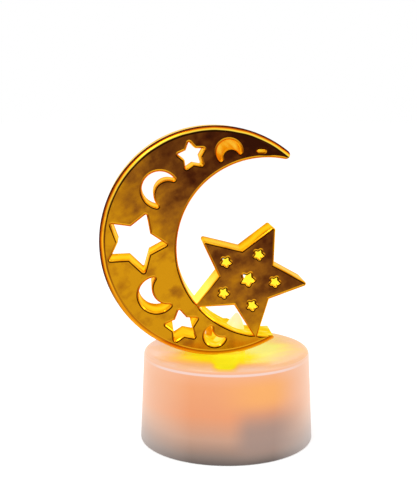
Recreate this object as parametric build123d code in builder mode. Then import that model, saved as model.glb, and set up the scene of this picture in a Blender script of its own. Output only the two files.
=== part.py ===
from build123d import *
import os
from math import acos, atan2, cos, degrees, hypot, radians, sin, sqrt

# A crescent-and-star ornament pushed onto the flame of a battery tea light.
# Millimetres, +Z up, the front faces -Y. The origin is on the cup's axis,
# on the flat face that the light rests on.

# Cup: the tapered translucent shell
cup_foot_radius = 18.5
cup_top_radius = 17.6
cup_height = 19.5
cup_mouth_wall = 1.25
cup_ledge = 0.5
cup_top_thickness = 1.3
cup_top_round = 1.0
cup_foot_round = 0.4
rim_width = 1.3
dish_depth = 0.5
dish_slope = 8.0

# Flame: a hollow diffuser that leans to one side
flame_root_radius = 4.0
flame_height = 7.7
flame_lean = 2.2
flame_flange_radius = 5.6
flame_flange_thickness = 1.2
flame_fit = 0.1
flame_sections = 8
flame_tip_share = 0.98
flame_lean_power = 1.5
flame_taper_power = 0.72

# Light-emitting diode inside the flame, a standard round one
led_radius = 2.5
led_height = 8.6
led_rim_radius = 2.9
led_rim_thickness = 1.0
led_room = 0.3
led_below_rim = 0.2
lead_size = 0.5
lead_pitch = 2.54
lead_room = 0.3

# Coin cell, a standard 20 mm one, and the pocket that holds it
cell_radius = 10.0
cell_height = 3.2
cell_can_height = 2.8
cell_can_wall = 0.25
cell_cap_radius = 8.6
cell_seal_fit = 0.03
cell_offset = 3.8
cell_room = 0.3
pocket_wall = 2.0
ceiling_thickness = 1.0
contact_room = 0.8

# Chassis floor and the post that carries the diode and the flame
floor_thickness = 1.6
floor_fit = 0.05
post_radius = 5.0
lead_hole_radius = 0.6

# Battery door: a quarter-turn cap with three lugs and a coin slot
door_thickness = 1.4
door_fit = 0.2
door_ring_width = 1.9
door_ring_height = 1.1
lug_count = 3
lug_reach = 0.9
lug_thickness = 0.8
lug_angle = 18.0
lug_play = 0.25
door_turn = 40.0
cell_play = 0.1
coin_slot_length = 9.0
coin_slot_width = 1.6
coin_slot_depth = 0.8

# Slide switch: knob, wiper and guide rails
switch_offset = 12.6
switch_travel = 2.6
slider_width = 4.0
slider_length = 4.4
slider_thickness = 1.0
slider_play = 0.1
nib_width = 2.4
nib_length = 2.6
nib_recess = 0.3
nib_play = 0.2
rail_width = 0.6
rail_height = 1.3
rail_play = 0.15
wiper_sheet = 0.25
wiper_width = 1.2
wiper_rise = 0.9
wiper_gap = 0.1
pole_offset = 1.2
nib_groove_spacing = 0.87
nib_groove_width = 0.3

# Contact springs
contact_sheet = 0.3
contact_width = 3.0
contact_slot_play = 0.2
blade_foot = 0.65
blade_height = 1.75
arm_slope_run = 1.3
pad_overhang = 1.0
leaf_flat = 1.5
leaf_start = 1.0

# Ornament plate: the crescent is a disc less a second disc
plate_depth = 9.0
plate_front = 5.5
crescent_radius = 23.87
crescent_x = -2.75
crescent_above_dish = 0.15
inner_radius = 18.59
inner_shift_x = 10.58
inner_shift_z = -1.2
upper_tip_round = 0.93
lower_tip_round = 0.46
edge_round = 1.05
back_edge_round = 0.3
plate_skin = 1.4
plate_wall = 1.2
edge_bevel = 0.25

# Star held inside the crescent: two of its tips run into the crescent
star_shift_x = -3.9
star_shift_z = -6.53
star_notch_radius = 6.15
star_tip_round = 0.5
tip_spacing = 72.0
star_embed = 0.95
free_tips = ((139.7, 12.6), (63.1, 12.6), (-5.4, 12.95))
joined_tips = (-82.0, -152.7)

# Star holes, each by its direction from the crescent's centre, its step from the
# middle of the band, its tip radius and its turn
big_star_hole = (179.9, 0.51, 6.4, 51.2)
upper_star_hole = (105.3, 0.57, 3.0, 12.0)
lower_star_hole = (248.3, 0.51, 3.6, 10.5)
star_hole_notch = 0.56
star_hole_round = 0.2

# Crescent holes: direction, step, disc radius, cut radius, cut shift and its direction
upper_crescent_hole = (136.0, -0.63, 3.67, 3.08, 2.05, -32.4)
lower_crescent_hole = (221.4, -0.51, 3.7, 3.4, 2.71, 29.5)
low_crescent_hole = (269.6, -0.51, 2.2, 2.05, 2.15, 48.0)
arch_recess = (81.7, -1.03, 2.5, 1.95, 1.3, -69.0)
crescent_hole_round = 0.22
recess_depth = 2.0
slot_recess = (63.5, -0.68)
slot_length = 1.7
slot_height = 0.65

# Small star holes in the star: distance from its centre and direction
small_hole_radius = 1.05
middle_hole_radius = 1.45
small_hole_posts = ((5.85, 141.0), (5.6, 66.5), (5.65, -6.5), (5.6, -80.5), (5.75, 209.0))
small_hole_round = 0.1
post_wall = 0.7

# Socket behind the plate that the flame fits into
socket_clearance = 0.3
socket_wall = 1.1
socket_rise = 1.2
socket_height = 4.5

# Heights and radii that follow from the sizes above
dish_z = cup_height - dish_depth
top_underside = dish_z - cup_top_thickness
cup_taper = (cup_foot_radius - cup_top_radius) / cup_height
mouth_radius = cup_foot_radius - cup_mouth_wall
cup_inner_wall = cup_mouth_wall + cup_ledge
flange_bottom = top_underside - flame_flange_thickness
led_bottom = cup_height - led_below_rim - led_height
door_radius = cell_radius + cell_room + door_fit
opening_radius = door_radius + door_fit
groove_radius = door_radius + lug_reach + lug_play
ring_top = door_thickness + door_ring_height
groove_top = ring_top + lug_play / 2
cell_bottom = ring_top + cell_play
cell_top = cell_bottom + cell_height
ceiling_bottom = cell_top + contact_room
ceiling_top = ceiling_bottom + ceiling_thickness
pocket_radius = cell_radius + cell_room
pocket_outer_radius = pocket_radius + pocket_wall
slider_bottom = floor_thickness + slider_play
slider_top = slider_bottom + slider_thickness
wiper_top = slider_top + wiper_sheet + wiper_rise
pad_bottom = wiper_top + wiper_gap
crescent_z = dish_z + crescent_above_dish + crescent_radius
inner_x = crescent_x + inner_shift_x
inner_z = crescent_z + inner_shift_z
star_x = inner_x + star_shift_x
star_z = inner_z + star_shift_z
plate_back = plate_depth - plate_front
socket_radius = flame_root_radius + socket_clearance
back_plane = Plane.XZ.offset(-plate_back)
front_plane = Plane.XZ.offset(plate_front)
bevel_plane = Plane.XZ.offset(plate_front - edge_bevel)
bevel_steps = ((bevel_plane, 0), (front_plane, edge_bevel))

os.makedirs("parts", exist_ok=True)


def step_from(x, y, distance, angle):
    """The point at a distance and direction from (x, y)."""
    return (x + distance * cos(radians(angle)), y + distance * sin(radians(angle)))


def reach_to_inner_arc(x, z, angle):
    """Distance from a point to the crescent's inner arc, in one direction."""
    along = (inner_x - x) * cos(radians(angle)) + (inner_z - z) * sin(radians(angle))
    gap = hypot(inner_x - x, inner_z - z)
    return along + sqrt(along**2 - gap**2 + inner_radius**2)


def station(angle, step):
    """A place in the middle of the crescent's band, moved outwards by a step."""
    middle = (crescent_radius + reach_to_inner_arc(crescent_x, crescent_z, angle)) / 2
    return step_from(crescent_x, crescent_z, middle + step, angle)


def star_points(centre, tips, notch_radius):
    """Ten corners of a star, from its tips as pairs of direction and radius."""
    points = []
    for place, (angle, radius) in enumerate(tips):
        following = tips[(place + 1) % len(tips)][0]
        notch_angle = angle - ((angle - following) % 360) / 2
        points.append(step_from(*centre, radius, angle))
        points.append(step_from(*centre, notch_radius, notch_angle))
    return points


def side_from_centre(tip_radius, notch_radius):
    """Distance from a star's centre to the lines of its sides."""
    across = notch_radius * sin(radians(tip_spacing / 2))
    along = tip_radius - notch_radius * cos(radians(tip_spacing / 2))
    return tip_radius * across / hypot(along, across)


def even_star(centre, tip_radius, turn, growth):
    """An even star whose sides are moved outwards by the growth."""
    notch_radius = tip_radius * star_hole_notch
    side_distance = side_from_centre(tip_radius, notch_radius)
    scale_up = (side_distance + growth) / side_distance
    tips = [(turn + 90 - tip_spacing * count, tip_radius * scale_up) for count in range(5)]
    return star_points(centre, tips, notch_radius * scale_up)


def draw_star(points, centre, tip_round):
    """Draw a star face with rounded tips in the open sketch."""
    with BuildSketch(mode=Mode.PRIVATE) as star:
        with BuildLine():
            Polyline(*points, close=True)
        make_face()
        tips = star.vertices().sort_by_distance(Vector(*centre))[-5:]
        fillet(tips, tip_round)
    add(star.sketch)


def crescent_tips(disc_place, disc_radius, cut_place, cut_radius):
    """The two points where a disc's circle and the circle cut from it cross."""
    gap = hypot(cut_place[0] - disc_place[0], cut_place[1] - disc_place[1])
    along = (gap**2 + disc_radius**2 - cut_radius**2) / (2 * gap)
    opening = degrees(acos(along / disc_radius))
    facing = degrees(atan2(cut_place[1] - disc_place[1], cut_place[0] - disc_place[0]))
    return [step_from(*disc_place, disc_radius, facing + side * opening) for side in (1, -1)]


def draw_crescent(disc_place, disc_radius, cut_place, cut_radius, tip_rounds):
    """Draw a crescent face in the open sketch, from its two circles, with rounded tips."""
    tips = crescent_tips(disc_place, disc_radius, cut_place, cut_radius)
    facing = degrees(atan2(cut_place[1] - disc_place[1], cut_place[0] - disc_place[0]))
    with BuildSketch(mode=Mode.PRIVATE) as crescent:
        with BuildLine():
            ThreePointArc(tips[0], step_from(*disc_place, -disc_radius, facing), tips[1])
            ThreePointArc(tips[1], step_from(*cut_place, -cut_radius, facing), tips[0])
        make_face()
        for tip, tip_round in zip(tips, tip_rounds):
            fillet(crescent.vertices().sort_by_distance(Vector(*tip))[0], tip_round)
    add(crescent.sketch)


def draw_crescent_hole(hole, growth):
    """Draw a small crescent hole in the open sketch, grown on all sides."""
    angle, step, disc_radius, cut_radius, cut_shift, cut_angle = hole
    disc_place = station(angle, step)
    cut_place = step_from(*disc_place, cut_shift, cut_angle)
    tip_round = crescent_hole_round + growth
    draw_crescent(disc_place, disc_radius + growth, cut_place, cut_radius - growth, (tip_round, tip_round))


def draw_star_hole(hole, growth):
    """Draw a star hole in the open sketch, grown on all sides."""
    angle, step, tip_radius, turn = hole
    place = station(angle, step)
    draw_star(even_star(place, tip_radius, turn, growth), place, star_hole_round + growth)


def right_of(start, end):
    """The direction square to a line, on its right."""
    run = hypot(end[0] - start[0], end[1] - start[1])
    return ((end[1] - start[1]) / run, (start[0] - end[0]) / run)


def move_corner(corner, before, after, distance):
    """A corner moved so that both of its sides lie a distance further along their directions."""
    share = distance / (1 + before[0] * after[0] + before[1] * after[1])
    return (corner[0] + share * (before[0] + after[0]), corner[1] + share * (before[1] + after[1]))


def draw_strip(points, sheet):
    """Draw a bent strip of sheet metal that lies along the right of a line of points."""
    sides = [right_of(start, end) for start, end in zip(points, points[1:])]
    sides = [sides[0], *sides, sides[-1]]
    far_side = [
        move_corner(corner, sides[place], sides[place + 1], sheet)
        for place, corner in enumerate(points)
    ]
    with BuildSketch(mode=Mode.PRIVATE) as strip:
        with BuildLine():
            Polyline(*points, *far_side[::-1], close=True)
        make_face()
    add(strip.sketch)


def draw_held_star(inset):
    """Draw the star that the crescent holds, with its sides moved inwards by an inset."""
    outline = star_points((star_x, star_z), star_tips, star_notch_radius)
    sides = [right_of(outline[place - 1], corner) for place, corner in enumerate(outline)]
    corners = [
        move_corner(corner, sides[place], sides[(place + 1) % len(sides)], inset)
        for place, corner in enumerate(outline)
    ]
    with BuildSketch(mode=Mode.PRIVATE) as star_face:
        with BuildLine():
            Polyline(*corners, close=True)
        make_face()
        for place in range(len(free_tips)):
            tip = star_face.vertices().sort_by_distance(Vector(*corners[2 * place]))[0]
            fillet(tip, star_tip_round - inset)
    add(star_face.sketch)


def flame_circle(share, clearance):
    """Height, sideways lean and radius of the flame at a share of its height."""
    height = cup_height + flame_height * share
    lean = flame_lean * (1 - (1 - share)**flame_lean_power)
    radius = flame_root_radius * (1 - share)**flame_taper_power + clearance
    return height, lean, radius


def flame_body(clearance, bottom):
    """The leaning flame, widened by a clearance, on a straight root."""
    with BuildPart() as body:
        with BuildSketch(Plane.XY.offset(bottom)):
            Circle(flame_root_radius + clearance)
        extrude(amount=cup_height - bottom)
        for count in range(flame_sections):
            share = flame_tip_share * count / (flame_sections - 1)
            height, lean, radius = flame_circle(share, clearance)
            with BuildSketch(Plane.XY.offset(height)):
                with Locations((lean, 0)):
                    Circle(radius)
        loft()
    return body.part


# Cup: turned section with a seat for the chassis and a shallow dished top
rim_edge = (cup_top_radius - rim_width, cup_height)
dish_edge = (cup_top_radius - rim_width - dish_slope, dish_z)
with BuildPart() as cup:
    with BuildSketch(Plane.XZ):
        with BuildLine():
            Polyline(
                dish_edge,
                (flame_root_radius + flame_fit, dish_z),
                (flame_root_radius + flame_fit, top_underside),
                (cup_foot_radius - cup_taper * top_underside - cup_inner_wall, top_underside),
                (cup_foot_radius - cup_taper * floor_thickness - cup_inner_wall, floor_thickness),
                (mouth_radius, floor_thickness),
                (mouth_radius, 0),
                (cup_foot_radius, 0),
                (cup_top_radius, cup_height),
                rim_edge,
            )
            Spline(rim_edge, dish_edge, tangents=((-1, 0), (-1, 0)))
        make_face()
    revolve(axis=Axis.Z)
    top_edge = cup.edges().group_by(Axis.Z)[-1].sort_by(SortBy.RADIUS)[-1]
    foot_edge = cup.edges().group_by(Axis.Z)[0].sort_by(SortBy.RADIUS)[-1]
    fillet(top_edge, cup_top_round)
    fillet(foot_edge, cup_foot_round)
cup.part.label = "cup"
export_step(cup.part, "parts/cup.step")

# Flame: leaning diffuser with a flange under the cup's top, hollow for the diode
with BuildPart() as flame:
    add(flame_body(0, flange_bottom))
    with BuildSketch(Plane.XY.offset(flange_bottom)):
        Circle(flame_flange_radius)
    extrude(amount=flame_flange_thickness)
    dome_z = led_bottom + led_height - led_radius
    with BuildSketch(Plane.XZ):
        with BuildLine():
            Polyline(
                (0, dome_z + led_radius + led_room),
                (0, flange_bottom),
                (led_radius + led_room, flange_bottom),
                (led_radius + led_room, dome_z),
            )
            CenterArc((0, dome_z), led_radius + led_room, 0, 90)
        make_face()
    revolve(axis=Axis.Z, mode=Mode.SUBTRACT)
flame.part.label = "flame"
export_step(flame.part, "parts/flame.step")

# Diode: epoxy body with a rim and a domed end
with BuildPart() as led_body:
    with BuildSketch(Plane.XZ):
        with BuildLine():
            Polyline(
                (0, led_bottom + led_height),
                (0, led_bottom),
                (led_rim_radius, led_bottom),
                (led_rim_radius, led_bottom + led_rim_thickness),
                (led_radius, led_bottom + led_rim_thickness),
                (led_radius, dome_z),
            )
            CenterArc((0, dome_z), led_radius, 0, 90)
        make_face()
    revolve(axis=Axis.Z)
led_body.part.label = "led_body"
export_step(led_body.part, "parts/led_body.step")

# Diode's long lead: out through the post and down to the switch
lead_x = lead_pitch / 2
lead_run_z = (led_bottom + ceiling_top) / 2
lead_end_x = -switch_offset - pole_offset
with BuildPart() as led_anode:
    with BuildSketch(Plane.XZ):
        draw_strip(
            [
                (-lead_x + lead_size / 2, led_bottom),
                (-lead_x + lead_size / 2, lead_run_z - lead_size / 2),
                (lead_end_x + lead_size / 2, lead_run_z - lead_size / 2),
                (lead_end_x + lead_size / 2, pad_bottom),
            ],
            lead_size,
        )
    extrude(amount=lead_size / 2, both=True)
led_anode.part.label = "led_anode"
export_step(led_anode.part, "parts/led_anode.step")

# Diode's short lead: straight down onto the negative contact
with BuildPart() as led_cathode:
    with BuildSketch(Plane.XY.offset(ceiling_bottom)):
        with Locations((lead_x, 0)):
            Rectangle(lead_size, lead_size)
    extrude(amount=led_bottom - ceiling_bottom)
led_cathode.part.label = "led_cathode"
export_step(led_cathode.part, "parts/led_cathode.step")

# Chassis: floor, cell pocket, diode post and switch rails in one moulding
contact_slot_width = contact_width + 2 * contact_slot_play
slot_low_y = -nib_length / 2 - nib_play
slot_high_y = nib_length / 2 + switch_travel + nib_play
rail_low_y = -slider_length / 2
rail_high_y = slider_length / 2 + switch_travel
rail_distance = slider_width / 2 + rail_play + rail_width / 2
with BuildPart() as chassis:
    with BuildSketch():
        Circle(mouth_radius - floor_fit)
    extrude(amount=floor_thickness)
    with BuildSketch(Plane.XY.offset(floor_thickness)):
        with Locations((cell_offset, 0)):
            Circle(pocket_outer_radius)
    extrude(amount=ceiling_top - floor_thickness)
    with BuildSketch(Plane.XY.offset(ceiling_top)):
        Circle(post_radius)
    extrude(amount=flange_bottom - ceiling_top)
    with BuildSketch(Plane.XY.offset(floor_thickness)):
        for side in (-1, 1):
            with Locations((-switch_offset + side * rail_distance, (rail_low_y + rail_high_y) / 2)):
                Rectangle(rail_width, rail_high_y - rail_low_y)
    extrude(amount=rail_height)
    # Door opening with notches for the lugs, their groove, and the cell's room
    with BuildSketch():
        with Locations((cell_offset, 0)):
            Circle(opening_radius)
    extrude(amount=floor_thickness, mode=Mode.SUBTRACT)
    with BuildSketch() as notches:
        with Locations((cell_offset, 0)):
            Circle(groove_radius)
            with PolarLocations(0, lug_count, start_angle=-door_turn):
                half_slot = groove_radius * sin(radians(lug_angle / 2)) + lug_play
                with Locations((groove_radius, 0)):
                    Rectangle(2 * lug_reach + 4 * lug_play, 2 * half_slot, mode=Mode.INTERSECT)
    extrude(amount=floor_thickness, mode=Mode.SUBTRACT)
    with BuildSketch(Plane.XY.offset(floor_thickness)):
        with Locations((cell_offset, 0)):
            Circle(groove_radius)
    extrude(amount=groove_top - floor_thickness, mode=Mode.SUBTRACT)
    with BuildSketch(Plane.XY.offset(groove_top)):
        with Locations((cell_offset, 0)):
            Circle(pocket_radius)
    extrude(amount=ceiling_bottom - groove_top, mode=Mode.SUBTRACT)
    # Post bore with a ledge under the diode, and the ways for its leads
    with BuildSketch(Plane.XY.offset(led_bottom)):
        Circle(led_rim_radius + led_room / 2)
    extrude(amount=flange_bottom - led_bottom, mode=Mode.SUBTRACT)
    with BuildSketch(Plane.XY.offset(ceiling_top)):
        Circle(lead_x + lead_hole_radius + lead_room)
    extrude(amount=led_bottom - ceiling_top, mode=Mode.SUBTRACT)
    with BuildSketch(Plane.XY.offset(ceiling_bottom)):
        with Locations((lead_x, 0)):
            Circle(lead_hole_radius)
    extrude(amount=ceiling_thickness, mode=Mode.SUBTRACT)
    with BuildSketch(Plane.XY.offset(lead_run_z - lead_hole_radius)):
        with Locations((-post_radius / 2, 0)):
            Rectangle(post_radius + 2 * lead_hole_radius, 2 * lead_hole_radius)
    extrude(amount=2 * lead_hole_radius, mode=Mode.SUBTRACT)
    # Window for the positive contact, and the switch's slot
    with BuildSketch(Plane.XY.offset(groove_top)):
        with Locations((cell_offset - pocket_radius - pocket_wall / 2, 0)):
            Rectangle(2 * pocket_wall, contact_slot_width)
    extrude(amount=ceiling_bottom - groove_top, mode=Mode.SUBTRACT)
    with BuildSketch():
        with Locations((-switch_offset, (slot_low_y + slot_high_y) / 2)):
            Rectangle(nib_width + 2 * nib_play, slot_high_y - slot_low_y)
    extrude(amount=floor_thickness, mode=Mode.SUBTRACT)
chassis.part.label = "chassis"
export_step(chassis.part, "parts/chassis.step")

# Coin cell: steel can, nylon seal and steel cap
with BuildPart() as cell_can:
    with BuildSketch(Plane.XY.offset(cell_bottom)):
        with Locations((cell_offset, 0)):
            Circle(cell_radius)
    extrude(amount=cell_can_height)
    with BuildSketch(Plane.XY.offset(cell_bottom + cell_can_wall)):
        with Locations((cell_offset, 0)):
            Circle(cell_radius - cell_can_wall)
    extrude(amount=cell_can_height - cell_can_wall, mode=Mode.SUBTRACT)
    fillet(cell_can.edges().group_by(Axis.Z)[0], cell_can_wall)
cell_can.part.label = "cell_can"
export_step(cell_can.part, "parts/cell_can.step")

with BuildPart() as cell_seal:
    with BuildSketch(Plane.XY.offset(cell_bottom + cell_can_wall + cell_seal_fit)):
        with Locations((cell_offset, 0)):
            Circle(cell_radius - cell_can_wall - cell_seal_fit)
            Circle(cell_cap_radius + cell_seal_fit, mode=Mode.SUBTRACT)
    extrude(amount=cell_can_height - cell_can_wall)
cell_seal.part.label = "cell_seal"
export_step(cell_seal.part, "parts/cell_seal.step")

with BuildPart() as cell_cap:
    with BuildSketch(Plane.XY.offset(cell_bottom + cell_can_wall + cell_seal_fit)):
        with Locations((cell_offset, 0)):
            Circle(cell_cap_radius)
    extrude(amount=cell_height - cell_can_wall - cell_seal_fit)
    fillet(cell_cap.edges().group_by(Axis.Z)[-1], cell_can_wall)
cell_cap.part.label = "cell_cap"
export_step(cell_cap.part, "parts/cell_cap.step")

# Positive contact: a blade on the cell's side that runs out over the switch
blade_x = cell_offset - cell_radius
arm_z = cell_bottom + blade_foot + blade_height
pad_x = -switch_offset + pole_offset
with BuildPart() as positive_contact:
    with BuildSketch(Plane.XZ):
        draw_strip(
            [
                (blade_x, cell_bottom + blade_foot),
                (blade_x, arm_z + contact_sheet),
                (pad_x + contact_sheet + arm_slope_run, arm_z + contact_sheet),
                (pad_x + contact_sheet, pad_bottom + contact_sheet),
                (pad_x - pad_overhang, pad_bottom + contact_sheet),
            ][::-1],
            contact_sheet,
        )
    extrude(amount=contact_width / 2, both=True)
positive_contact.part.label = "positive_contact"
export_step(positive_contact.part, "parts/positive_contact.step")

# Negative contact: a leaf under the pocket's ceiling that bears on the cap
leaf_end = cell_offset + cell_cap_radius / 2
with BuildPart() as negative_contact:
    with BuildSketch(Plane.XZ):
        draw_strip(
            [
                (-lead_x, ceiling_bottom),
                (cell_offset - leaf_start, ceiling_bottom),
                (leaf_end - leaf_flat, cell_top + contact_sheet),
                (leaf_end, cell_top + contact_sheet),
            ],
            contact_sheet,
        )
    extrude(amount=contact_width / 2, both=True)
negative_contact.part.label = "negative_contact"
export_step(negative_contact.part, "parts/negative_contact.step")

# Switch knob: a slider on the floor with a nib through the slot
with BuildPart() as switch_knob:
    with BuildSketch(Plane.XY.offset(slider_bottom)):
        with Locations((-switch_offset, 0)):
            Rectangle(slider_width, slider_length)
    extrude(amount=slider_thickness)
    with BuildSketch(Plane.XY.offset(nib_recess)):
        with Locations((-switch_offset, 0)):
            Rectangle(nib_width, nib_length)
    extrude(amount=slider_bottom - nib_recess)
    with BuildSketch(Plane.XY.offset(nib_recess)):
        with GridLocations(nib_width, nib_groove_spacing, 1, 2):
            with Locations((-switch_offset, 0)):
                Rectangle(nib_width, nib_groove_width)
    extrude(amount=nib_recess, mode=Mode.SUBTRACT)
switch_knob.part.label = "switch_knob"
export_step(switch_knob.part, "parts/switch_knob.step")

# Switch wiper: a bent strip on the slider that joins the lead and the contact
with BuildPart() as switch_wiper:
    with BuildSketch(Plane.XZ):
        draw_strip(
            [
                (lead_end_x - wiper_sheet, wiper_top),
                (lead_end_x + 2 * wiper_sheet, slider_top + wiper_sheet),
                (pad_x - 2 * wiper_sheet, slider_top + wiper_sheet),
                (pad_x + wiper_sheet, wiper_top),
            ],
            wiper_sheet,
        )
    extrude(amount=wiper_width / 2, both=True)
switch_wiper.part.label = "switch_wiper"
export_step(switch_wiper.part, "parts/switch_wiper.step")

# Battery door: disc, stiffening ring, lugs and coin slot
with BuildPart() as battery_door:
    with BuildSketch():
        with Locations((cell_offset, 0)):
            Circle(door_radius)
    extrude(amount=door_thickness)
    with BuildSketch(Plane.XY.offset(door_thickness)):
        with Locations((cell_offset, 0)):
            Circle(door_radius)
            Circle(door_radius - door_ring_width, mode=Mode.SUBTRACT)
    extrude(amount=door_ring_height)
    with BuildSketch(Plane.XY.offset(ring_top - lug_thickness)):
        with Locations((cell_offset, 0)):
            Circle(door_radius + lug_reach)
            Circle(door_radius - door_ring_width / 2, mode=Mode.SUBTRACT)
            with PolarLocations(0, lug_count):
                half_lug = groove_radius * sin(radians(lug_angle / 2))
                with Locations((door_radius, 0)):
                    Rectangle(3 * lug_reach, 2 * half_lug, mode=Mode.INTERSECT)
    extrude(amount=lug_thickness)
    with BuildSketch():
        with Locations((cell_offset, 0)):
            SlotOverall(coin_slot_length, coin_slot_width, rotation=90)
    extrude(amount=coin_slot_depth, mode=Mode.SUBTRACT)
battery_door.part.label = "battery_door"
export_step(battery_door.part, "parts/battery_door.step")

# Ornament: first the disc that gives the crescent its rounded outer edge
with BuildPart() as rounded_disc:
    with BuildSketch(back_plane):
        with Locations((crescent_x, crescent_z)):
            Circle(crescent_radius)
    extrude(amount=plate_depth)
    disc_edges = rounded_disc.edges().filter_by(GeomType.CIRCLE).sort_by(Axis.Y)
    fillet(disc_edges[0], edge_round)
    fillet(disc_edges[-1], back_edge_round)

# The socket's wall, kept below the crescent's inner arc
with BuildPart() as socket:
    with BuildSketch(Plane.XY.offset(dish_z + socket_rise)):
        Circle(socket_radius + socket_wall)
    extrude(amount=socket_height)
    with BuildSketch(Plane.XZ):
        with Locations((inner_x, inner_z)):
            Circle(inner_radius)
    extrude(amount=2 * (socket_radius + socket_wall), both=True, mode=Mode.SUBTRACT)

# The star, cored out from behind: a wall round its edge and a post round each hole
star_tips = [
    *free_tips,
    *[
        (angle, reach_to_inner_arc(star_x, star_z, angle) + star_embed)
        for angle in joined_tips
    ],
]
star_side = side_from_centre(free_tips[0][1], star_notch_radius)
core_share = (star_side - plate_wall) / star_side
core_tips = [(angle, free_tips[0][1] * core_share) for angle, radius in star_tips]
hole_places = [step_from(star_x, star_z, *post) for post in small_hole_posts]
small_holes = [(place, small_hole_radius) for place in hole_places]
small_holes.append(((star_x, star_z), middle_hole_radius))
star_turn = free_tips[1][0] - 90
with BuildPart() as star:
    with BuildSketch(back_plane):
        draw_held_star(0)
    extrude(amount=plate_depth - edge_bevel)
    for plane, inset in bevel_steps:
        with BuildSketch(plane):
            draw_held_star(inset)
    loft(ruled=True)
    with BuildSketch(back_plane):
        with BuildLine():
            Polyline(
                *star_points((star_x, star_z), core_tips, star_notch_radius * core_share),
                close=True,
            )
        make_face()
        with Locations((star_x, star_z)):
            Circle(middle_hole_radius + post_wall, mode=Mode.SUBTRACT)
        with Locations(*hole_places):
            Circle(small_hole_radius + post_wall, mode=Mode.SUBTRACT)
    extrude(amount=plate_depth - plate_skin, mode=Mode.SUBTRACT)
    for place, radius in small_holes:
        with BuildSketch(back_plane):
            draw_star(even_star(place, radius, star_turn, 0), place, small_hole_round)
        extrude(amount=plate_depth, mode=Mode.SUBTRACT)
        for plane, growth in bevel_steps:
            with BuildSketch(plane):
                draw_star(even_star(place, radius, star_turn, growth), place, small_hole_round + growth)
        loft(ruled=True, mode=Mode.SUBTRACT)

# The crescent with its cored back, holes and recesses, then the flame's room and the star
star_holes = (big_star_hole, upper_star_hole, lower_star_hole)
crescent_holes = (upper_crescent_hole, lower_crescent_hole, low_crescent_hole)
with BuildPart() as ornament:
    with BuildSketch(back_plane):
        draw_crescent(
            (crescent_x, crescent_z),
            crescent_radius,
            (inner_x, inner_z),
            inner_radius,
            (upper_tip_round, lower_tip_round),
        )
    extrude(amount=plate_depth)
    add(rounded_disc.part, mode=Mode.INTERSECT)
    with BuildSketch(back_plane):
        with Locations((crescent_x, crescent_z)):
            Circle(crescent_radius - plate_wall)
        with Locations((inner_x, inner_z)):
            Circle(inner_radius + plate_wall, mode=Mode.SUBTRACT)
        with BuildSketch(mode=Mode.PRIVATE) as kept:
            for angle, step, tip_radius, turn in star_holes:
                with BuildLine():
                    Polyline(*even_star(station(angle, step), tip_radius, turn, plate_wall), close=True)
                make_face()
            for angle, step, disc_radius, *cut in (*crescent_holes, arch_recess):
                with Locations(station(angle, step)):
                    Circle(disc_radius + plate_wall)
            with Locations(station(*slot_recess)):
                SlotOverall(slot_length + 2 * plate_wall, slot_height + 2 * plate_wall)
        add(kept.sketch, mode=Mode.SUBTRACT)
    extrude(amount=plate_depth - plate_skin, mode=Mode.SUBTRACT)
    add(socket.part)
    with BuildSketch(back_plane):
        for hole in star_holes:
            draw_star_hole(hole, 0)
        for hole in crescent_holes:
            draw_crescent_hole(hole, 0)
    extrude(amount=plate_depth, mode=Mode.SUBTRACT)
    with BuildSketch(front_plane):
        draw_crescent_hole(arch_recess, 0)
        with Locations(station(*slot_recess)):
            SlotOverall(slot_length, slot_height)
    extrude(amount=-recess_depth, mode=Mode.SUBTRACT)
    # Bevels round the holes, the recesses and the inner arc
    for hole in star_holes:
        for plane, growth in bevel_steps:
            with BuildSketch(plane):
                draw_star_hole(hole, growth)
        loft(ruled=True, mode=Mode.SUBTRACT)
    for hole in (*crescent_holes, arch_recess):
        for plane, growth in bevel_steps:
            with BuildSketch(plane):
                draw_crescent_hole(hole, growth)
        loft(ruled=True, mode=Mode.SUBTRACT)
    for plane, growth in bevel_steps:
        with BuildSketch(plane):
            with Locations(station(*slot_recess)):
                SlotOverall(slot_length + 2 * growth, slot_height + 2 * growth)
    loft(ruled=True, mode=Mode.SUBTRACT)
    for plane, growth in bevel_steps:
        with BuildSketch(plane):
            with Locations((inner_x, inner_z)):
                Circle(inner_radius + growth)
    loft(ruled=True, mode=Mode.SUBTRACT)
    add(flame_body(socket_clearance, dish_z - crescent_above_dish), mode=Mode.SUBTRACT)
    add(star.part)
ornament.part.label = "ornament"
export_step(ornament.part, "parts/ornament.step")
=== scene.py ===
from math import cos, hypot, radians, sin, tau

import bmesh
import bpy
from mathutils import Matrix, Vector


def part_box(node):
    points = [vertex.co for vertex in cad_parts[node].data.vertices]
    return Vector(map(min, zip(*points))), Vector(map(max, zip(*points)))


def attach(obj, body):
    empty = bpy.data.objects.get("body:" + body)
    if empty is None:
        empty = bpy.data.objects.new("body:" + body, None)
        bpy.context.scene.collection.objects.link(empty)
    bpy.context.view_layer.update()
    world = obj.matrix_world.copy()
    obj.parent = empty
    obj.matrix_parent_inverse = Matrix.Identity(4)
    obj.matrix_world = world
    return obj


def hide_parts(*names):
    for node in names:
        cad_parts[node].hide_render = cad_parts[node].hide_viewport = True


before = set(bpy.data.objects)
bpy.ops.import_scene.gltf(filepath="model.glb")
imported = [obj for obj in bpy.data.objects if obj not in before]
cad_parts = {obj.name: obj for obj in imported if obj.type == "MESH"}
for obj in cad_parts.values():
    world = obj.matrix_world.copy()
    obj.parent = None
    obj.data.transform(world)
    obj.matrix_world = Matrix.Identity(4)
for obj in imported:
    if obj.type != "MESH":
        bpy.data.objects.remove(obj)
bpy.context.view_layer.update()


# Chassis and battery door
# Two white polystyrene mouldings with a fine spark-eroded texture. The chassis snaps into the
# cup's mouth and carries everything inside; the door makes part of a turn in it and lets go.
mm = 0.001
grain_reach = (0.3, 0.7)


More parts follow.
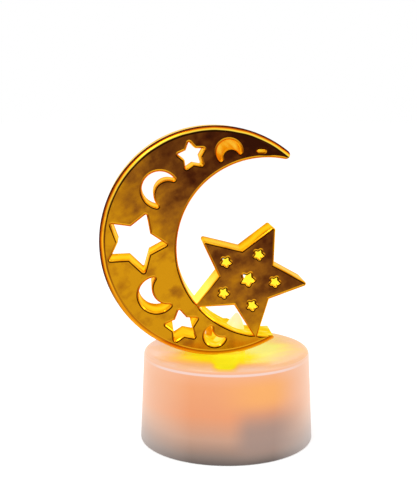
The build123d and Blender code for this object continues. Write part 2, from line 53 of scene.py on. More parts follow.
def swatch(red, green, blue):
    """A colour given as 0 to 255, in the linear values that a shader takes."""
    shares = [channel / 255 for channel in (red, green, blue)]
    return (*[s / 12.92 if s < 0.04045 else ((s + 0.055) / 1.055) ** 2.4 for s in shares], 1.0)


def start_finish(name):
    """A new material with its shader and the place on the piece, in metres."""
    finish = bpy.data.materials.new(name)
    finish.use_nodes = True
    tree = finish.node_tree
    place = tree.nodes.new("ShaderNodeTexCoord").outputs["Object"]
    return finish, tree, tree.nodes["Principled BSDF"], place


def grain(tree, place, scale, stretch=(1, 1, 1), turn=(0, 0, 0), detail=2.0):
    """Cloudy variation from 0 to 1, drawn out and turned as the moulding or rolling leaves it."""
    mapping = tree.nodes.new("ShaderNodeMapping")
    mapping.vector_type = "TEXTURE"
    mapping.inputs["Scale"].default_value = [1 / share for share in stretch]
    mapping.inputs["Rotation"].default_value = [radians(angle) for angle in turn]
    noise = tree.nodes.new("ShaderNodeTexNoise")
    noise.inputs["Scale"].default_value = scale
    noise.inputs["Detail"].default_value = detail
    tree.links.new(place, mapping.inputs["Vector"])
    tree.links.new(mapping.outputs["Vector"], noise.inputs["Vector"])
    return noise.outputs["Fac"]


def spread(tree, value, low, high, to_low=0.0, to_high=1.0, smooth=False):
    """A value carried from one range to another and kept inside it."""
    carry = tree.nodes.new("ShaderNodeMapRange")
    carry.interpolation_type = "SMOOTHSTEP" if smooth else "LINEAR"
    sockets = ("From Min", "From Max", "To Min", "To Max")
    for socket, number in zip(sockets, (low, high, to_low, to_high)):
        carry.inputs[socket].default_value = number
    tree.links.new(value, carry.inputs["Value"])
    return carry.outputs["Result"]


def vary(tree, cloud, least, most):
    """The usual reach of a grain, carried to a range of its own."""
    return spread(tree, cloud, *grain_reach, least, most)


def shades(tree, value, *stops):
    """Colours along a value, each stop a share and a swatch."""
    ramp = tree.nodes.new("ShaderNodeValToRGB")
    while len(ramp.color_ramp.elements) < len(stops):
        ramp.color_ramp.elements.new(0.5)
    for element, (share, colour) in zip(ramp.color_ramp.elements, stops):
        element.position = share
        element.color = swatch(*colour)
    tree.links.new(value, ramp.inputs["Fac"])
    return ramp.outputs["Color"]


def relief(tree, shader, height, depth):
    """Small hills and hollows of a given depth in millimetres."""
    bump = tree.nodes.new("ShaderNodeBump")
    bump.inputs["Strength"].default_value = 1.0
    bump.inputs["Distance"].default_value = depth * mm
    tree.links.new(height, bump.inputs["Height"])
    tree.links.new(bump.outputs["Normal"], shader.inputs["Normal"])


def finish_node(node, finish):
    """Give a CAD piece its finish."""
    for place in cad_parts[node].material_slots:
        place.material = finish


white_moulding, tree, shader, place = start_finish("white_moulding")
cloud = grain(tree, place, scale=260)
white = shades(tree, cloud, (0.3, (226, 222, 212)), (0.7, (240, 237, 230)))
tree.links.new(white, shader.inputs["Base Color"])
tree.links.new(vary(tree, cloud, 0.42, 0.55), shader.inputs["Roughness"])
relief(tree, shader, grain(tree, place, scale=4200), depth=0.02)
finish_node("chassis", white_moulding)
finish_node("battery_door", white_moulding)

# Contact strips and switch wiper
# Pressed from thin brass strip, bent to spring. The rolling marks run along the strip, and the
# rubbed places are brighter. They are pushed into slots of the chassis and the slider.
strip_brass, tree, shader, place = start_finish("strip_brass")
shader.inputs["Metallic"].default_value = 1.0
rolled = grain(tree, place, scale=900, stretch=(0.06, 1, 1))
brass = shades(tree, rolled, (0.3, (176, 132, 62)), (0.7, (222, 182, 98)))
tree.links.new(brass, shader.inputs["Base Color"])
tree.links.new(vary(tree, rolled, 0.22, 0.4), shader.inputs["Roughness"])
for strip in ("positive_contact", "negative_contact", "switch_wiper"):
    finish_node(strip, strip_brass)

# Switch knob
# Black polypropylene slider on the chassis floor. Its nib comes down through the slot and has two
# grooves for a fingernail; the top of the grain is polished grey by use.
black_moulding, tree, shader, place = start_finish("black_moulding")
worn = grain(tree, place, scale=1400, detail=4.0)
black = shades(tree, worn, (0.35, (16, 16, 18)), (0.75, (46, 45, 46)))
tree.links.new(black, shader.inputs["Base Color"])
tree.links.new(vary(tree, worn, 0.38, 0.6), shader.inputs["Roughness"])
relief(tree, shader, grain(tree, place, scale=5200), depth=0.02)
finish_node("switch_knob", black_moulding)

# Coin cell
# Nickel-plated steel can and cap, drawn and turned, with a dark nylon seal crimped between them.
# It lies loose in the chassis pocket, held up by the door.
cell_nickel, tree, shader, place = start_finish("cell_nickel")
cell_middle = (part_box("cell_can")[0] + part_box("cell_can")[1]) / 2
shader.inputs["Metallic"].default_value = 1.0
centred = tree.nodes.new("ShaderNodeMapping")
centred.inputs["Location"].default_value = -cell_middle
turned = tree.nodes.new("ShaderNodeTexWave")
turned.wave_type = "RINGS"
turned.rings_direction = "Z"
turned.inputs["Scale"].default_value = 900
turned.inputs["Distortion"].default_value = 1.5
tree.links.new(place, centred.inputs["Vector"])
tree.links.new(centred.outputs["Vector"], turned.inputs["Vector"])
rings = turned.outputs["Fac"]
nickel = shades(tree, rings, (0.0, (186, 186, 190)), (1.0, (214, 214, 216)))
tree.links.new(nickel, shader.inputs["Base Color"])
tree.links.new(spread(tree, rings, 0, 1, 0.2, 0.34), shader.inputs["Roughness"])
finish_node("cell_can", cell_nickel)
finish_node("cell_cap", cell_nickel)

seal_nylon, tree, shader, place = start_finish("seal_nylon")
nylon = shades(tree, grain(tree, place, scale=1500), (0.3, (24, 24, 27)), (0.7, (40, 40, 44)))
tree.links.new(nylon, shader.inputs["Base Color"])
shader.inputs["Roughness"].default_value = 0.5
finish_node("cell_seal", seal_nylon)


# Diode and its leads
# A round amber diode of clear epoxy on two tinned wires. The epoxy glows most near the chip, low
# in its body; the wires are dull where the solder ran.
def height_share(tree, place, low, high):
    """0 at the foot of a piece and 1 at its top, from the two corners of its box."""
    levels = tree.nodes.new("ShaderNodeSeparateXYZ")
    tree.links.new(place, levels.inputs["Vector"])
    return spread(tree, levels.outputs["Z"], low.z, high.z)


lit_epoxy, tree, shader, place = start_finish("lit_epoxy")
low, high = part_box("led_body")
amber = shades(
    tree, height_share(tree, place, low, high),
    (0.0, (214, 120, 24)), (0.35, (255, 214, 110)), (1.0, (250, 178, 60)),
)
tree.links.new(amber, shader.inputs["Base Color"])
tree.links.new(amber, shader.inputs["Emission Color"])
shader.inputs["Emission Strength"].default_value = 0.8
shader.inputs["Roughness"].default_value = 0.08
finish_node("led_body", lit_epoxy)

tinned_wire, tree, shader, place = start_finish("tinned_wire")
shader.inputs["Metallic"].default_value = 1.0
solder = grain(tree, place, scale=1100, detail=3.0)
tin = shades(tree, solder, (0.3, (168, 168, 170)), (0.7, (216, 216, 214)))
tree.links.new(tin, shader.inputs["Base Color"])
tree.links.new(vary(tree, solder, 0.18, 0.42), shader.inputs["Roughness"])
finish_node("led_anode", tinned_wire)
finish_node("led_cathode", tinned_wire)


# Flame
# Soft translucent vinyl moulded as a leaning flame, hollow over the diode. It is white plastic, and
# its light from inside is a painted glow: deep yellow round the diode, pale at the thin tip. Its flange
# sits under the cup's top.
def weigh(tree, operation, first, second):
    """Two values put together by one sum."""
    sum_node = tree.nodes.new("ShaderNodeMath")
    sum_node.operation = operation
    for socket, value in zip(sum_node.inputs, (first, second)):
        if isinstance(value, (int, float)):
            socket.default_value = value
        else:
            tree.links.new(value, socket)
    return sum_node.outputs[0]


def paint_glow(tree, shader, colour, lit, fallen):
    """Painted glow: a share of its colour is given off as its own light, another takes the light that
    falls on it.
    """
    dimmed = tree.nodes.new("ShaderNodeHueSaturation")
    dimmed.inputs["Value"].default_value = fallen
    tree.links.new(colour, dimmed.inputs["Color"])
    tree.links.new(dimmed.outputs["Color"], shader.inputs["Base Color"])
    tree.links.new(colour, shader.inputs["Emission Color"])
    shader.inputs["Emission Strength"].default_value = lit


lit_vinyl, tree, shader, place = start_finish("lit_vinyl")
low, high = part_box("flame")
flicker = vary(tree, grain(tree, place, scale=420, stretch=(1, 1, 0.3)), -0.06, 0.06)
flame_glow = shades(
    tree, weigh(tree, "ADD", height_share(tree, place, low, high), flicker),
    (0.2, (255, 214, 40)), (0.5, (255, 236, 92)), (0.75, (253, 246, 170)), (1.0, (250, 246, 214)),
)
paint_glow(tree, shader, flame_glow, lit=0.72, fallen=0.35)
shader.inputs["Roughness"].default_value = 0.35
relief(tree, shader, grain(tree, place, scale=2600), depth=0.03)
finish_node("flame", lit_vinyl)

# Cup
# Translucent white polypropylene, injection moulded with a slight draft, a soft top edge and a
# shallow dished top that the flame comes through. Its colours are painted light: a painted glow of
# the diode inside, painted shade of the cell pocket low down, and painted highlights and sheen.
foot_radius, top_radius, cup_height = 18.5, 17.6, 19.5
mouth_radius, mouth_height = 17.25, 1.6
inner_foot_radius, inner_top_radius, ceiling_height = 16.676, 15.933, 17.7
hole_radius, dish_height = 4.1, 19.0
# Each corner of the cut cup has a radius, a height and a rounding, all in millimetres.
profile = [
    (mouth_radius, 0, 0), (foot_radius, 0, 0.4), (top_radius, cup_height, 1.0), (16.3, cup_height, 0.2),
    (14.3, 19.42, 0.8), (12.3, 19.25, 0.8), (10.3, 19.08, 0.8), (8.3, dish_height, 0.8),
    (hole_radius, dish_height, 0.12), (hole_radius, ceiling_height, 0),
    (inner_top_radius, ceiling_height, 0.4), (inner_foot_radius, mouth_height, 0),
    (mouth_radius, mouth_height, 0),
]
top_from, top_within = 18.9, 17.5
cup_crease = radians(32)
cup_steps, corner_steps = 180, 6
seam_within = 0.00001 * mm
SIDE, TOP = range(2)
turned_cup = bmesh.new()
corners = [turned_cup.verts.new((radius * mm, 0, height * mm)) for radius, height, soft in profile]
for corner, following in zip(corners, corners[1:] + corners[:1]):
    turned_cup.edges.new((corner, following))
for corner, (radius, height, soft) in zip(corners, profile):
    if soft:
        bmesh.ops.bevel(
            turned_cup, geom=[corner], offset=soft * mm, offset_type="OFFSET",
            affect="VERTICES", segments=corner_steps, profile=0.5, material=-1,
        )
bmesh.ops.spin(
    turned_cup, geom=turned_cup.verts[:] + turned_cup.edges[:], cent=(0, 0, 0), axis=(0, 0, 1),
    angle=tau, steps=cup_steps, use_merge=True,
)
bmesh.ops.remove_doubles(turned_cup, verts=turned_cup.verts, dist=seam_within)
bmesh.ops.recalc_face_normals(turned_cup, faces=turned_cup.faces)
for face in turned_cup.faces:
    face.smooth = True
    middle = face.calc_center_median() / mm
    on_top = middle.z > top_from and hypot(middle.x, middle.y) < top_within
    face.material_index = TOP if on_top else SIDE
for edge in turned_cup.edges:
    edge.smooth = edge.calc_face_angle(0) < cup_crease
cup_mesh = bpy.data.meshes.new("cup_shell")
turned_cup.to_mesh(cup_mesh)
turned_cup.free()
cup_shell = bpy.data.objects.new("cup_shell", cup_mesh)
bpy.context.scene.collection.objects.link(cup_shell)


def tint(tree, share, under, over):
    """One colour laid over another, by a share from 0 to 1."""
    mix = tree.nodes.new("ShaderNodeMix")
    mix.data_type = "RGBA"
    tree.links.new(share, mix.inputs["Factor"])
    for socket, colour in zip((mix.inputs["A"], mix.inputs["B"]), (under, over)):
        if isinstance(colour, tuple):
            socket.default_value = swatch(*colour)
        else:
            tree.links.new(colour, socket)
    return mix.outputs["Result"]


def readings(tree, place, turn=0):
    """The place along each axis, if wanted turned round the cup's middle."""
    mapping = tree.nodes.new("ShaderNodeMapping")
    mapping.inputs["Rotation"].default_value = (0, 0, radians(turn))
    axes = tree.nodes.new("ShaderNodeSeparateXYZ")
    tree.links.new(place, mapping.inputs["Vector"])
    tree.links.new(mapping.outputs["Vector"], axes.inputs["Vector"])
    return axes.outputs


def distance(tree, aside, along):
    """How far out a place lies, from two of its readings."""
    squares = [weigh(tree, "MULTIPLY", reading, reading) for reading in (aside, along)]
    return weigh(tree, "SQRT", weigh(tree, "ADD", *squares), 0.0)


def between(tree, reading, start, end, at_start=0.0, at_end=1.0, smooth=False):
    """A share that runs from one place to another, both in millimetres."""
    return spread(tree, reading, start * mm, end * mm, at_start, at_end, smooth)


def patch(tree, reading, start, full, ease, end, most=1.0):
    """A share that rises between two places, stays and falls between two more, with soft ends."""
    rise = between(tree, reading, start, full, smooth=True)
    return weigh(tree, "MULTIPLY", rise, between(tree, reading, ease, end, most, 0.0, smooth=True))


# The cup's painted glow and shade are turned a few degrees round its middle.
glow_turn = 5
lit_side, tree, shader, place = start_finish("lit_cup_side")
axes = readings(tree, place, glow_turn)
# Painted glow of the diode through the wall: dark grey at the foot, orange in the middle, peach at the
# top.
haze = vary(tree, grain(tree, place, scale=60, stretch=(1, 1, 0.5)), -0.012, 0.012)
wall_glow = shades(
    tree, weigh(tree, "ADD", between(tree, axes["Z"], 0, cup_height), haze),
    (0.0, (100, 90, 86)), (0.08, (138, 120, 110)), (0.26, (198, 154, 130)), (0.5, (232, 154, 108)),
    (0.8, (238, 162, 112)), (0.93, (241, 172, 130)), (1.0, (243, 190, 150)),
)
# Painted shade of the cell pocket, low down on the right.
pocket_shade = weigh(
    tree, "MULTIPLY",
    patch(tree, axes["X"], 0, 5, 9, 19),
    patch(tree, axes["Z"], 0.2, 4.0, 6.2, 12.9, most=0.85),
)
# A painted amber spot of glow on the right, above the pocket shade.
amber_glow_spot = weigh(
    tree, "MULTIPLY",
    patch(tree, axes["X"], -4, 8, 9, 15),
    patch(tree, axes["Z"], 9.5, 13.5, 15, 19, most=0.55),
)
# A painted highlight band across the front, just below the soft top edge.
edge_shine = weigh(
    tree, "MULTIPLY",
    patch(tree, axes["Z"], 17.9, 18.1, 18.4, 18.6, most=0.7),
    patch(tree, axes["X"], -18, -12, 11, 18),
)
# Painted light at the sides: a paler sheen from low down upward, and grey painted shade at the foot.
aside = weigh(
    tree, "MAXIMUM",
    between(tree, axes["X"], -7, -16.5, 0.0, 0.6),
    between(tree, axes["X"], 9.5, 16.5, 0.0, 0.7),
)
painted_side_sheen = weigh(tree, "MULTIPLY", aside, between(tree, axes["Z"], 1, 7))
painted_foot_shade = weigh(tree, "MULTIPLY", aside, between(tree, axes["Z"], 2, 9, 1.0, 0.0))
wall_colour = wall_glow
for share, over in (
    (painted_side_sheen, (243, 200, 172)),
    (pocket_shade, (160, 136, 126)),
    (painted_foot_shade, (190, 176, 170)),
    (amber_glow_spot, (250, 180, 92)),
    (edge_shine, (240, 218, 214)),
):
    wall_colour = tint(tree, share, wall_colour, over)
paint_glow(tree, shader, wall_colour, lit=0.45, fallen=0.55)
shader.inputs["Roughness"].default_value = 0.3
shader.inputs["Specular IOR Level"].default_value = 0.3
relief(tree, shader, grain(tree, place, scale=1900), depth=0.01)
cup_mesh.materials.append(lit_side)

lit_top, tree, shader, place = start_finish("lit_cup_top")
axes = readings(tree, place, glow_turn)
# A painted pool of yellow light round the flame, a little to the right, fading to peach at the edge.
glow_aside = 1.2
ripple = vary(tree, grain(tree, place, scale=160, stretch=(0.5, 1, 1), detail=3.0), -0.12, 0.12)
from_glow = distance(tree, weigh(tree, "SUBTRACT", axes["X"], glow_aside * mm), axes["Y"])
outward = weigh(tree, "ADD", between(tree, from_glow, 4, 17.8), ripple)
# A painted reflection of the flame: a yellow streak running forward to the front edge.
painted_flame_reflection = weigh(
    tree, "MULTIPLY",
    patch(tree, axes["X"], -3.4, -1.0, 0.4, 2.8),
    patch(tree, axes["Y"], -18.2, -15.8, -7, -4, most=0.7),
)
top_glow = shades(
    tree, weigh(tree, "SUBTRACT", outward, painted_flame_reflection),
    (0.0, (238, 234, 30)), (0.36, (240, 230, 22)), (0.52, (244, 210, 44)), (0.68, (243, 190, 90)),
    (0.83, (242, 184, 126)), (1.0, (241, 192, 160)),
)
paint_glow(tree, shader, top_glow, lit=0.55, fallen=0.45)
shader.inputs["Roughness"].default_value = 0.22
shader.inputs["Specular IOR Level"].default_value = 0.3
relief(tree, shader, grain(tree, place, scale=1900), depth=0.01)
cup_mesh.materials.append(lit_top)
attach(cup_shell, "base")
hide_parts("cup")

# Ornament
# Crescent and star in one plastic moulding, cored out behind, pierced and plated with mirror gold.
# Its rippled faces are slightly sunk inside a thin line. Its colours hold painted light: painted
# highlights on the rim, bevels and upward lines, painted shade on the face and downward lines, and a
# painted glow on walls, recesses and round the flame. It is pushed over the flame.
front, back, bevel_depth = -5.5, 3.5, 0.25
# A middle on the front is given along X and Z, in millimetres like the other sizes here.
crescent_middle, crescent_reach, edge_round = (-2.75, 43.02), 23.87, 1.05
inner_middle, inner_reach, edge_band = (7.83, 41.82), 18.59, 0.4
slot_middle, slot_reach, slot_foot = (6.59, 61.74), (1.9, 2.3), (60.78, 60.84)
star_middle, star_hole_reach = (3.93, 35.29), 1.5
star_hole_posts = [(0, 0)] + [
    (post * cos(radians(angle)), post * sin(radians(angle)))
    for post, angle in ((5.85, 141.0), (5.6, 66.5), (5.65, -6.5), (5.6, -80.5), (5.75, 209.0))
]
star_joints, joint_reach = ((-6.68, 29.8), (5.64, 23.11)), 0.1
ring_top, ring_inside, ring_outside, lit_below = 26, 4.4, 5.6, 29
on_front, behind_bevel, in_recess = front + 0.05, front + 0.3, front + 0.5
flat, nearly_flat, slanted, barely_slanted = 0.999, 0.9, 0.3, 0.02
line_width, line_depth, easing_rounds = 0.24, 0.06, 12
merge_within = 0.0005 * mm
gold_crease = radians(35)
FACE, RIM, BEVEL, WALL, HOLE, FLOOR, LIT, BACK, LINE = range(9)
plating = bmesh.new()
plating.from_mesh(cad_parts["ornament"].data)
bmesh.ops.remove_doubles(plating, verts=plating.verts, dist=merge_within)
looks_up = plating.faces.layers.float.new("looks_up")
# Each face of the moulding goes to one finish, by where it lies and how far it turns to the front.
for face in plating.faces:
    middle = face.calc_center_median() / mm
    facing = face.normal.y
    reach = hypot(middle.x - crescent_middle[0], middle.z - crescent_middle[1])
    inner = hypot(middle.x - inner_middle[0], middle.z - inner_middle[1])
    off_axis = hypot(middle.x, middle.y)
    in_ring = off_axis < ring_inside or off_axis < ring_outside and middle.y < 0
    by_flame = middle.z < ring_top and in_ring
    on_inner_edge = abs(inner - inner_reach) < edge_band and abs(facing) < slanted
    over_flame = on_inner_edge and middle.z < lit_below
    in_star_hole = star_hole_reach > min(
        hypot(middle.x - star_middle[0] - x, middle.z - star_middle[1] - z) for x, z in star_hole_posts
    )
    within_crescent = inner > inner_reach + edge_band and reach < crescent_reach - edge_band
    at_rim = middle.y < front + edge_round and reach > crescent_reach - edge_round
    # Faces behind the bevel round the flame take its painted glow.
    if middle.y > behind_bevel and (by_flame or over_flame):
        part = LIT
    elif facing < -flat and middle.y < on_front:
        part = FACE
    elif facing < -nearly_flat and middle.y > in_recess:
        part = FLOOR
    elif facing < -barely_slanted and at_rim:
        part = RIM
    elif facing < -slanted:
        part = LINE if in_star_hole else BEVEL
    elif facing > slanted:
        part = BACK
    elif within_crescent or in_star_hole:
        part = HOLE
    else:
        part = WALL
    face.material_index = part
    face[looks_up] = face.normal.z
    face.smooth = True
gold_faces = [face for face in plating.faces if face.material_index == FACE]
lines = bmesh.ops.inset_region(
    plating, faces=gold_faces, thickness=line_width * mm, depth=-line_depth * mm,
    use_even_offset=False, use_boundary=True,
)["faces"]
for face in lines:
    face.normal_update()
    face.material_index = LINE
    face[looks_up] = face.normal.z
# The line closes up at the star's two narrow joints and is eased where the face would fold over.
across_line = [sorted(edge.verts, key=lambda vert: vert.co.y) for face in lines for edge in face.edges]
line_corners = {
    sunk: outer.co.copy() for outer, sunk in across_line if sunk.co.y - outer.co.y > line_depth / 2 * mm
}
for sunk, corner in line_corners.items():
    if min(hypot(corner.x / mm - x, corner.z / mm - z) for x, z in star_joints) < joint_reach:
        sunk.co = corner
for easing in range(easing_rounds):
    folded = set()
    for face in gold_faces + lines:
        face.normal_update()
        if face.normal.y > 0:
            folded.update(vert for vert in face.verts if vert in line_corners)
    for sunk in folded:
        sunk.co = line_corners[sunk].lerp(sunk.co, 0.5)
bmesh.ops.remove_doubles(plating, verts=plating.verts, dist=merge_within)
for edge in plating.edges:
    parts = {face.material_index for face in edge.link_faces}
    edge.smooth = len(parts) == 1 and edge.calc_face_angle(0) < gold_crease
gold_mesh = bpy.data.meshes.new("gold_ornament")
plating.to_mesh(gold_mesh)
plating.free()
if gold_mesh.has_custom_normals:
    gold_mesh.attributes.remove(gold_mesh.attributes["custom_normal"])
gold_ornament = bpy.data.objects.new("gold_ornament", gold_mesh)
bpy.context.scene.collection.objects.link(gold_ornament)


def start_gold(name, grazing=(150, 84, 14), metal=1.0):
    """The plated finish for the next slot number, a mirror with a warm edge."""
    finish, tree, shader, place = start_finish(name)
    shader.inputs["Metallic"].default_value = metal
    shader.inputs["Specular Tint"].default_value = swatch(*grazing)
    gold_mesh.materials.append(finish)
    return tree, shader, place


def away(tree, axes, middle):
    """How far a place of the face lies from a middle given in millimetres."""
    aside = weigh(tree, "SUBTRACT", axes["X"], middle[0] * mm)
    above = weigh(tree, "SUBTRACT", axes["Z"], middle[1] * mm)
    return distance(tree, aside, above)


def near_slot(tree, axes):
    """1 on and round the small slot near the upper tip, else 0."""
    round_it = between(tree, away(tree, axes, slot_middle), *slot_reach, 1.0, 0.0)
    return weigh(tree, "MULTIPLY", round_it, between(tree, axes["Z"], *slot_foot))


def inward(tree, axes, cloud, uneven):
    """0 at the front of a wall and 1 at its back, made uneven by a grain."""
    depth = between(tree, axes["Y"], front + bevel_depth, back)
    return weigh(tree, "ADD", depth, vary(tree, cloud, -uneven, uneven))


tree, shader, place = start_gold("gold_face")
axes = readings(tree, place)
# Painted shade of the mirror gold: the face darkens towards the upper right and a little more on the
# star, with streaks and mottling.
darkens_along, darkens_between = (0.6, 0.8), (20, 56)
across = weigh(tree, "MULTIPLY", axes["X"], darkens_along[0])
upward = weigh(tree, "MULTIPLY", axes["Z"], darkens_along[1])
diagonal = weigh(tree, "ADD", across, upward)
streak = grain(tree, place, scale=130, stretch=(1, 1, 0.45), turn=(0, 35, 0), detail=5.0)
fine_streak = grain(tree, place, scale=520, stretch=(1, 1, 0.3), turn=(0, 55, 0), detail=4.0)
mottle = grain(tree, place, scale=460, detail=6.0)
dark_cloud = grain(tree, place, scale=170, detail=5.0)
on_star = between(tree, away(tree, axes, inner_middle), inner_reach - 1.2, inner_reach, 0.16, 0.0)
darkness = between(tree, diagonal, *darkens_between)
for change in (
    spread(tree, streak, 0.25, 0.75, -0.17, 0.17),
    spread(tree, fine_streak, 0.25, 0.75, -0.12, 0.12),
    vary(tree, mottle, -0.13, 0.13),
    spread(tree, dark_cloud, 0.55, 0.7, 0.0, 0.24),
    on_star,
):
    darkness = weigh(tree, "ADD", darkness, change)
face_gold = shades(
    tree, darkness,
    (0.0, (200, 138, 16)), (0.2, (174, 112, 16)), (0.42, (140, 84, 20)), (0.62, (104, 56, 16)),
    (0.85, (74, 32, 10)), (1.0, (52, 20, 8)),
)
tree.links.new(face_gold, shader.inputs["Base Color"])
tree.links.new(vary(tree, fine_streak, 0.14, 0.26), shader.inputs["Roughness"])
relief(tree, shader, grain(tree, place, scale=210, detail=1.0), depth=0.06)

tree, shader, place = start_gold("gold_rim")
axes = readings(tree, place)
foot_to_side, side_to_top = (26, 36), (46, 58)
shader.inputs["Specular IOR Level"].default_value = 0.0
# Painted light across the rim's rounding: a bright painted highlight band and dark painted shade
# towards the outer edge, painted one way high up, another at the sides, and lit bright by the flame at
# the foot.
from_middle = away(tree, axes, crescent_middle)
outward = weigh(
    tree, "ADD",
    between(tree, from_middle, crescent_reach - edge_round, crescent_reach),
    vary(tree, grain(tree, place, scale=190), -0.05, 0.05),
)
high_rim = shades(
    tree, outward,
    (0.0, (40, 16, 2)), (0.1, (60, 26, 4)), (0.19, (255, 220, 80)), (0.36, (255, 214, 60)),
    (0.48, (250, 150, 10)), (0.64, (176, 70, 8)), (0.8, (84, 26, 8)), (1.0, (48, 16, 8)),
)
side_rim = shades(
    tree, outward,
    (0.0, (110, 54, 6)), (0.18, (240, 176, 34)), (0.36, (244, 160, 20)), (0.54, (200, 92, 10)),
    (0.74, (92, 34, 8)), (1.0, (52, 18, 8)),
)
foot_rim = shades(
    tree, outward,
    (0.0, (150, 84, 8)), (0.35, (224, 132, 12)), (0.65, (255, 180, 30)), (1.0, (246, 150, 26)),
)
rim_gold = tint(tree, between(tree, axes["Z"], *side_to_top), side_rim, high_rim)
rim_gold = tint(tree, between(tree, axes["Z"], *foot_to_side), foot_rim, rim_gold)
tree.links.new(rim_gold, shader.inputs["Base Color"])
tree.links.new(spread(tree, outward, 0.35, 0.65, 1.0, 0.1), shader.inputs["Metallic"])
shader.inputs["Roughness"].default_value = 0.14

tree, shader, place = start_gold("gold_bevel")
axes = readings(tree, place)
# Painted highlight across each bevel: dark orange at the front, bright yellow behind.
over_bevel = weigh(
    tree, "ADD",
    between(tree, axes["Y"], front, front + bevel_depth),
    vary(tree, grain(tree, place, scale=320), -0.25, 0.25),
)
bevel_gold = shades(
    tree, over_bevel,
    (0.0, (150, 74, 4)), (0.35, (240, 148, 8)), (0.75, (255, 186, 22)), (1.0, (255, 212, 50)),
)
# Painted shade on the upper bevel of the small slot.
painted_slot_shade = weigh(tree, "MULTIPLY", near_slot(tree, axes), between(tree, axes["Z"], 61.7, 62.0))
tree.links.new(tint(tree, painted_slot_shade, bevel_gold, (70, 30, 8)), shader.inputs["Base Color"])
shader.inputs["Roughness"].default_value = 0.14

tree, shader, place = start_gold("gold_wall", grazing=(246, 178, 0), metal=0.6)
axes = readings(tree, place)
neck_middle, neck_reach = (-5.5, 31.5), (2, 8)
shader.inputs["Specular IOR Level"].default_value = 0.0
# The walls carry a painted glow: bright yellow midway in, darker at the front and back, and brightest
# round the crescent's neck.
drawn = grain(tree, place, scale=300, stretch=(1, 0.12, 1), detail=3.0)
wall_gold = shades(
    tree, inward(tree, axes, drawn, uneven=0.1),
    (0.0, (214, 136, 4)), (0.2, (255, 212, 18)), (0.45, (255, 226, 44)), (0.7, (255, 206, 18)),
    (1.0, (220, 144, 6)),
)
by_neck = between(tree, away(tree, axes, neck_middle), *neck_reach, 1.0, 0.0)
wall_gold = tint(tree, by_neck, wall_gold, (255, 238, 110))
paint_glow(tree, shader, wall_gold, lit=0.36, fallen=0.64)
tree.links.new(spread(tree, by_neck, 0, 1, 0.36, 0.7), shader.inputs["Emission Strength"])
tree.links.new(vary(tree, drawn, 0.14, 0.24), shader.inputs["Roughness"])

tree, shader, place = start_gold("gold_hole_wall", grazing=(200, 108, 0), metal=0.22)
axes = readings(tree, place)
shader.inputs["Specular IOR Level"].default_value = 0.0
# The hole walls carry a painted glow, brighter in the small holes of the star.
hole_gold = shades(
    tree, inward(tree, axes, grain(tree, place, scale=240, detail=3.0), uneven=0.2),
    (0.0, (230, 150, 6)), (0.2, (252, 206, 18)), (0.5, (255, 226, 40)), (0.75, (252, 196, 14)),
    (1.0, (230, 150, 6)),
)
in_star = between(tree, away(tree, axes, inner_middle), inner_reach - 0.6, inner_reach - 0.4, 1.0, 0.0)
hole_gold = tint(tree, in_star, hole_gold, (255, 228, 60))
paint_glow(tree, shader, hole_gold, lit=0.55, fallen=0.45)
tree.links.new(spread(tree, in_star, 0, 1, 0.62, 0.85), shader.inputs["Emission Strength"])
shader.inputs["Roughness"].default_value = 0.16

tree, shader, place = start_gold("gold_recess", grazing=(240, 160, 20))
axes = readings(tree, place)
# The recess floors carry a faint painted glow: orange with lighter streaks in the arch, yellow in the
# slot.
wash = grain(tree, place, scale=520, stretch=(1, 1, 0.4), turn=(0, -40, 0))
arch_gold = shades(tree, wash, (0.3, (222, 120, 4)), (0.5, (242, 152, 8)), (0.7, (255, 208, 64)))
slot_gold = shades(tree, wash, (0.3, (250, 196, 20)), (0.7, (255, 226, 60)))
recess_gold = tint(tree, near_slot(tree, axes), arch_gold, slot_gold)
paint_glow(tree, shader, recess_gold, lit=0.2, fallen=0.8)
shader.inputs["Roughness"].default_value = 0.3

tree, shader, place = start_gold("gold_lit_by_flame", grazing=(240, 160, 20), metal=0.1)
shader.inputs["Specular IOR Level"].default_value = 0.0
# The painted glow of the flame on the gold round it.
wash = grain(tree, place, scale=420, detail=3.0)
lit_gold = shades(tree, wash, (0.3, (252, 204, 10)), (0.55, (255, 228, 36)), (0.75, (255, 242, 130)))
paint_glow(tree, shader, lit_gold, lit=0.6, fallen=0.4)
shader.inputs["Roughness"].default_value = 0.2

tree, shader, place = start_gold("gold_back")
sink = grain(tree, place, scale=150, stretch=(1, 1, 0.5), detail=3.0)
back_gold = shades(tree, sink, (0.25, (128, 80, 18)), (0.55, (176, 116, 20)), (0.8, (206, 146, 34)))
tree.links.new(back_gold, shader.inputs["Base Color"])
tree.links.new(vary(tree, sink, 0.2, 0.34), shader.inputs["Roughness"])
relief(tree, shader, grain(tree, place, scale=260, detail=1.0), depth=0.06)

tree, shader, place = start_gold("gold_line")
axes = readings(tree, place)
# Painted light on the thin line: bright where it faces up, near black where it faces down, with painted
# shade round the slot.
tilt = tree.nodes.new("ShaderNodeAttribute")
tilt.attribute_name = "looks_up"
line_gold = shades(
    tree, spread(tree, tilt.outputs["Fac"], -0.3, 0.3),
    (0.0, (24, 10, 2)), (0.4, (60, 28, 4)), (0.6, (150, 82, 10)), (1.0, (250, 176, 30)),
)
line_gold = tint(tree, near_slot(tree, axes), line_gold, (60, 26, 8))
tree.links.new(line_gold, shader.inputs["Base Color"])
shader.inputs["Roughness"].default_value = 0.2
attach(gold_ornament, "ornament")
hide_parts("ornament")

# Table, light and view
# The ornament stands on a white sweep under soft studio light: an even surround, one large softbox
# to the upper left and a weaker one to the right. The lens looks slightly down on it from close by.
sweep_size, sweep_drop = 4.0, 0.05
sweep = bmesh.new()
bmesh.ops.create_grid(sweep, x_segments=1, y_segments=1, size=sweep_size)
bmesh.ops.translate(sweep, verts=sweep.verts, vec=(0, 0, -sweep_drop * mm))
sweep_mesh = bpy.data.meshes.new("white_sweep")
sweep.to_mesh(sweep_mesh)
sweep.free()
white_sweep = bpy.data.objects.new("white_sweep", sweep_mesh)
bpy.context.scene.collection.objects.link(white_sweep)


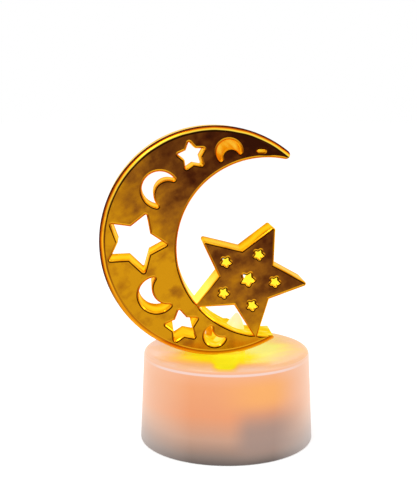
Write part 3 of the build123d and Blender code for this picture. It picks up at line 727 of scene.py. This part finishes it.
def by_ray(tree, fallen, seen, mirrored):
    """A strength for light that falls on things, for rays from the lens and for mirrored ones."""
    rays = tree.nodes.new("ShaderNodeLightPath").outputs
    reflected = weigh(tree, "MAXIMUM", rays["Is Glossy Ray"], rays["Is Transmission Ray"])
    strength = weigh(tree, "ADD", weigh(tree, "MULTIPLY", rays["Is Camera Ray"], seen - fallen), fallen)
    return weigh(tree, "ADD", strength, weigh(tree, "MULTIPLY", reflected, mirrored - fallen))


sweep_white, tree, shader, place = start_finish("sweep_white")
shader.inputs["Base Color"].default_value = swatch(244, 244, 244)
shader.inputs["Roughness"].default_value = 0.9
shader.inputs["Specular IOR Level"].default_value = 0.0
shader.inputs["Emission Color"].default_value = (1, 1, 1, 1)
tree.links.new(by_ray(tree, fallen=0.0, seen=0.35, mirrored=0.1), shader.inputs["Emission Strength"])
sweep_mesh.materials.append(sweep_white)

studio = bpy.data.worlds.new("studio")
bpy.context.scene.world = studio
studio.use_nodes = True
tree = studio.node_tree
surround = tree.nodes["Background"]
surround.inputs["Color"].default_value = (1, 1, 1, 1)
tree.links.new(by_ray(tree, fallen=0.75, seen=1.0, mirrored=1.0), surround.inputs["Strength"])

for name, place, turn, size, power in (
    ("softbox_left", (-0.45, -0.5, 0.7), (42, 0, -42), 0.5, 3.2),
    ("softbox_right", (0.6, -0.3, 0.4), (62, 0, 63), 0.4, 1.2),
):
    lamp = bpy.data.lights.new(name, "AREA")
    lamp.size = size
    lamp.energy = power
    softbox = bpy.data.objects.new(name, lamp)
    softbox.location = place
    softbox.rotation_euler = [radians(angle) for angle in turn]
    bpy.context.scene.collection.objects.link(softbox)

lens = bpy.data.cameras.new("lens")
lens.lens = 66.92
lens.sensor_width = 36
lens.clip_start = 0.01
viewpoint = bpy.data.objects.new("viewpoint", lens)
viewpoint.location = (-0.017892, -0.193607, 0.070355)
viewpoint.rotation_euler = (radians(81.31), 0, radians(-4.15))
bpy.context.scene.collection.objects.link(viewpoint)
bpy.context.scene.camera = viewpoint
bpy.context.scene.view_settings.view_transform = "Standard"
